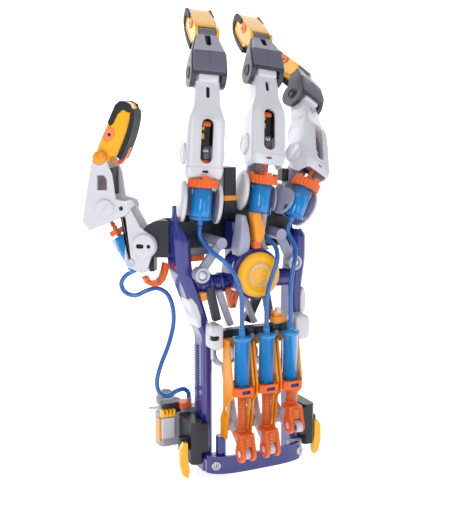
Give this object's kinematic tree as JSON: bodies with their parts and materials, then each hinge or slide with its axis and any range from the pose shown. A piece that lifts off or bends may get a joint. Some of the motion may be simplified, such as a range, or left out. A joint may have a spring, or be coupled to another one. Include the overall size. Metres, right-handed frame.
{
  "type": "hydraulic arm kit",
  "caption": "Wearable mechanical hand kit: syringe-driven curling fingers and thumb on a racked wrist frame, worked by the wearer's own fingers.",
  "frame": {"origin": "centre of the wrist cuff, on the forearm's axis", "axes": "+Z from the wrist towards the fingertips, -Y the back of the hand where the control syringes are, +Y the palm side that the fingers curl towards, +X towards the ring finger and -X towards the thumb"},
  "size_m": [0.2351, 0.1744, 0.4056],
  "materials": {
    "navy_plastic": "gloss navy",
    "dark_plastic": "satin near-black",
    "grey_plastic": "satin grey",
    "pale_plastic": "satin pale grey",
    "white_plastic": "gloss white",
    "yellow_plastic": "gloss yellow",
    "orange_plastic": "satin orange",
    "blue_clear_plastic": "clear tinted blue",
    "black_rubber": "matte black",
    "blue_hose": "smooth blue"
  },
  "bodies": {
    "frame": {"rail_left": "navy_plastic", "rail_right": "navy_plastic", "cuff_band": "navy_plastic", "cuff_link": "pale_plastic", "hub_housing": "navy_plastic", "hub_arm_left": "pale_plastic", "hub_arm_right": "pale_plastic", "knuckle_beam": "dark_plastic", "syringe_bridge": "dark_plastic", "thumb_housing": "dark_plastic", "thumb_control": "pale_plastic", "hose_index": "blue_hose", "hose_middle": "blue_hose", "hose_ring": "blue_hose", "hose_thumb": "blue_hose", "cradle_index": "yellow_plastic", "syringe_barrel_index": "blue_clear_plastic", "knuckle_bracket_index": "pale_plastic", "cylinder_index": "blue_clear_plastic", "cradle_middle": "yellow_plastic", "syringe_barrel_middle": "blue_clear_plastic", "knuckle_bracket_middle": "pale_plastic", "cylinder_middle": "blue_clear_plastic", "cradle_ring": "yellow_plastic", "syringe_barrel_ring": "blue_clear_plastic", "knuckle_bracket_ring": "pale_plastic", "cylinder_ring": "blue_clear_plastic"},
    "dial": {"hub_dial": "yellow_plastic"},
    "buckle_left": {"buckle_left": "dark_plastic"},
    "buckle_right": {"buckle_right": "dark_plastic"},
    "lock_lever_left": {"lock_lever_left": "yellow_plastic"},
    "lock_lever_right": {"lock_lever_right": "yellow_plastic"},
    "proximal_index": {"proximal_index": "white_plastic"},
    "middle_index": {"middle_index": "grey_plastic"},
    "tip_index": {"tip_index": "yellow_plastic", "pad_index": "black_rubber"},
    "rod_index": {"rod_index": "orange_plastic"},
    "plunger_index": {"plunger_index": "orange_plastic"},
    "lever_index": {"lever_index": "pale_plastic"},
    "proximal_middle": {"proximal_middle": "white_plastic"},
    "middle_middle": {"middle_middle": "grey_plastic"},
    "tip_middle": {"tip_middle": "yellow_plastic", "pad_middle": "black_rubber"},
    "rod_middle": {"rod_middle": "orange_plastic"},
    "plunger_middle": {"plunger_middle": "orange_plastic"},
    "lever_middle": {"lever_middle": "pale_plastic"},
    "proximal_ring": {"proximal_ring": "white_plastic"},
    "middle_ring": {"middle_ring": "grey_plastic"},
    "tip_ring": {"tip_ring": "yellow_plastic", "pad_ring": "black_rubber"},
    "rod_ring": {"rod_ring": "orange_plastic"},
    "plunger_ring": {"plunger_ring": "orange_plastic"},
    "lever_ring": {"lever_ring": "pale_plastic"},
    "thumb_bracket": {"thumb_bracket": "white_plastic"},
    "thumb_proximal": {"thumb_proximal": "white_plastic"},
    "thumb_tip": {"thumb_tip": "yellow_plastic", "thumb_pad": "black_rubber"},
    "thumb_cylinder": {"thumb_cylinder": "blue_clear_plastic"},
    "thumb_rod": {"thumb_rod": "orange_plastic"},
    "thumb_plunger": {"thumb_plunger": "yellow_plastic"}
  },
  "joints": [
    {"name": "dial_turn", "type": "hinge", "parent": "frame", "child": "dial", "pos_m": [-0.009, -0.03, 0.157], "axis": [0, -1, 0], "range_deg": [-60, 60]},
    {"name": "buckle_left_slide", "type": "slide", "parent": "frame", "child": "buckle_left", "axis": [0, 0, 1], "range_m": [0, 0.025]},
    {"name": "lock_lever_left_turn", "type": "hinge", "parent": "buckle_left", "child": "lock_lever_left", "pos_m": [-0.068, 0, 0.007], "axis": [0, 1, 0], "range_deg": [0, 80]},
    {"name": "buckle_right_slide", "type": "slide", "parent": "frame", "child": "buckle_right", "axis": [0, 0, 1], "range_m": [0, 0.025]},
    {"name": "lock_lever_right_turn", "type": "hinge", "parent": "buckle_right", "child": "lock_lever_right", "pos_m": [0.0635, 0, 0.007], "axis": [0, -1, 0], "range_deg": [0, 80]},
    {"name": "knuckle_index", "type": "hinge", "parent": "frame", "child": "proximal_index", "pos_m": [-0.046, 0, 0.257], "axis": [-0.9744, 0.2071, 0.0872], "range_deg": [0, 60]},
    {"name": "middle_joint_index", "type": "hinge", "parent": "proximal_index", "child": "middle_index", "pos_m": [-0.03841, 0.00792, 0.3231], "axis": [-0.9744, 0.2071, 0.0872], "range_deg": [0, 45.09]},
    {"name": "tip_joint_index", "type": "hinge", "parent": "middle_index", "child": "tip_index", "pos_m": [-0.03276, 0.02039, 0.35663], "axis": [-0.9744, 0.2071, 0.0872], "range_deg": [0, 27.05]},
    {"name": "rod_slide_index", "type": "slide", "parent": "frame", "child": "rod_index", "axis": [0.0955, 0.0305, 0.995], "range_m": [0, 0.01503]},
    {"name": "plunger_slide_index", "type": "slide", "parent": "frame", "child": "plunger_index", "axis": [0, 0, 1], "range_m": [0, 0.03006]},
    {"name": "lever_turn_index", "type": "hinge", "parent": "frame", "child": "lever_index", "pos_m": [-0.0292, -0.026, 0.026], "axis": [-1, 0, 0], "range_deg": [0, 64.63]},
    {"name": "knuckle_middle", "type": "hinge", "parent": "frame", "child": "proximal_middle", "pos_m": [0.011, 0, 0.263], "axis": [-0.9829, 0.1207, 0.1392], "range_deg": [0, 50]},
    {"name": "middle_joint_middle", "type": "hinge", "parent": "proximal_middle", "child": "middle_middle", "pos_m": [0.02249, 0.02168, 0.32535], "axis": [-0.9829, 0.1207, 0.1392], "range_deg": [0, 37.58]},
    {"name": "tip_joint_middle", "type": "hinge", "parent": "middle_middle", "child": "tip_middle", "pos_m": [0.0291, 0.04109, 0.3552], "axis": [-0.9829, 0.1207, 0.1392], "range_deg": [0, 22.55]},
    {"name": "rod_slide_middle", "type": "slide", "parent": "frame", "child": "rod_middle", "axis": [0.1387, -0.0124, 0.9903], "range_m": [0, 0.01252]},
    {"name": "plunger_slide_middle", "type": "slide", "parent": "frame", "child": "plunger_middle", "axis": [0, 0, 1], "range_m": [0, 0.02505]},
    {"name": "lever_turn_middle", "type": "hinge", "parent": "frame", "child": "lever_middle", "pos_m": [-0.006, -0.026, 0.026], "axis": [-1, 0, 0], "range_deg": [0, 50.85]},
    {"name": "knuckle_ring", "type": "hinge", "parent": "frame", "child": "proximal_ring", "pos_m": [0.054, 0, 0.25], "axis": [-0.8522, -0.1967, 0.4848], "range_deg": [-6, 12]},
    {"name": "middle_joint_ring", "type": "hinge", "parent": "proximal_ring", "child": "middle_ring", "pos_m": [0.07337, 0.03989, 0.30023], "axis": [-0.8522, -0.1967, 0.4848], "range_deg": [-4.51, 9.02]},
    {"name": "tip_joint_ring", "type": "hinge", "parent": "middle_ring", "child": "tip_ring", "pos_m": [0.08338, 0.06226, 0.3269], "axis": [-0.8522, -0.1967, 0.4848], "range_deg": [-2.71, 5.41]},
    {"name": "rod_slide_ring", "type": "slide", "parent": "frame", "child": "rod_ring", "axis": [0.4767, 0.0899, 0.8745], "range_m": [-0.0015, 0.00301]},
    {"name": "plunger_slide_ring", "type": "slide", "parent": "frame", "child": "plunger_ring", "axis": [0, 0, 1], "range_m": [-0.00301, 0.00601]},
    {"name": "lever_turn_ring", "type": "hinge", "parent": "frame", "child": "lever_ring", "pos_m": [0.0172, -0.026, 0.026], "axis": [-1, 0, 0], "range_deg": [-6.46, 12.93]},
    {"name": "thumb_swing", "type": "hinge", "parent": "frame", "child": "thumb_bracket", "pos_m": [-0.0875, 0.02, 0.1815], "axis": [0.6018, 0.7986, 0], "range_deg": [-8, 3]},
    {"name": "thumb_knuckle", "type": "hinge", "parent": "thumb_bracket", "child": "thumb_proximal", "pos_m": [-0.10267, 0.03143, 0.213], "axis": [0.6018, 0.7986, 0], "range_deg": [-9, 14]},
    {"name": "thumb_tip_joint", "type": "hinge", "parent": "thumb_proximal", "child": "thumb_tip", "pos_m": [-0.11705, 0.04227, 0.255], "axis": [0.6018, 0.7986, 0], "range_deg": [-7.21, 11.22]},
    {"name": "thumb_cylinder_tilt", "type": "hinge", "parent": "thumb_bracket", "child": "thumb_cylinder", "pos_m": [-0.09708, 0.02722, 0.1665], "axis": [0.6018, 0.7986, 0], "range_deg": [-1.02, 1.59]},
    {"name": "thumb_rod_slide", "type": "slide", "parent": "thumb_cylinder", "child": "thumb_rod", "axis": [-0.4275, 0.3222, 0.8446], "range_m": [-0.0028, 0.00435]},
    {"name": "thumb_plunger_slide", "type": "slide", "parent": "frame", "child": "thumb_plunger", "axis": [0, -1, 0], "range_m": [-0.00361, 0.00561]}
  ],
  "couplings": [
    {"joint": "middle_joint_index", "follows": "knuckle_index", "ratio": 0.75},
    {"joint": "tip_joint_index", "follows": "knuckle_index", "ratio": 0.45},
    {"joint": "rod_slide_index", "follows": "knuckle_index", "m_per_rad": 0.014324},
    {"joint": "plunger_slide_index", "follows": "knuckle_index", "m_per_rad": 0.028648},
    {"joint": "lever_turn_index", "follows": "knuckle_index", "ratio": 1.075},
    {"joint": "middle_joint_middle", "follows": "knuckle_middle", "ratio": 0.75},
    {"joint": "tip_joint_middle", "follows": "knuckle_middle", "ratio": 0.45},
    {"joint": "rod_slide_middle", "follows": "knuckle_middle", "m_per_rad": 0.014324},
    {"joint": "plunger_slide_middle", "follows": "knuckle_middle", "m_per_rad": 0.028648},
    {"joint": "lever_turn_middle", "follows": "knuckle_middle", "ratio": 1.015},
    {"joint": "middle_joint_ring", "follows": "knuckle_ring", "ratio": 0.75},
    {"joint": "tip_joint_ring", "follows": "knuckle_ring", "ratio": 0.45},
    {"joint": "rod_slide_ring", "follows": "knuckle_ring", "m_per_rad": 0.014324},
    {"joint": "plunger_slide_ring", "follows": "knuckle_ring", "m_per_rad": 0.028648},
    {"joint": "lever_turn_ring", "follows": "knuckle_ring", "ratio": 1.075},
    {"joint": "thumb_tip_joint", "follows": "thumb_knuckle", "ratio": 0.8},
    {"joint": "thumb_cylinder_tilt", "follows": "thumb_knuckle", "ratio": 0.113},
    {"joint": "thumb_rod_slide", "follows": "thumb_knuckle", "m_per_rad": 0.017762},
    {"joint": "thumb_plunger_slide", "follows": "thumb_knuckle", "m_per_rad": 0.022918}
  ]
}
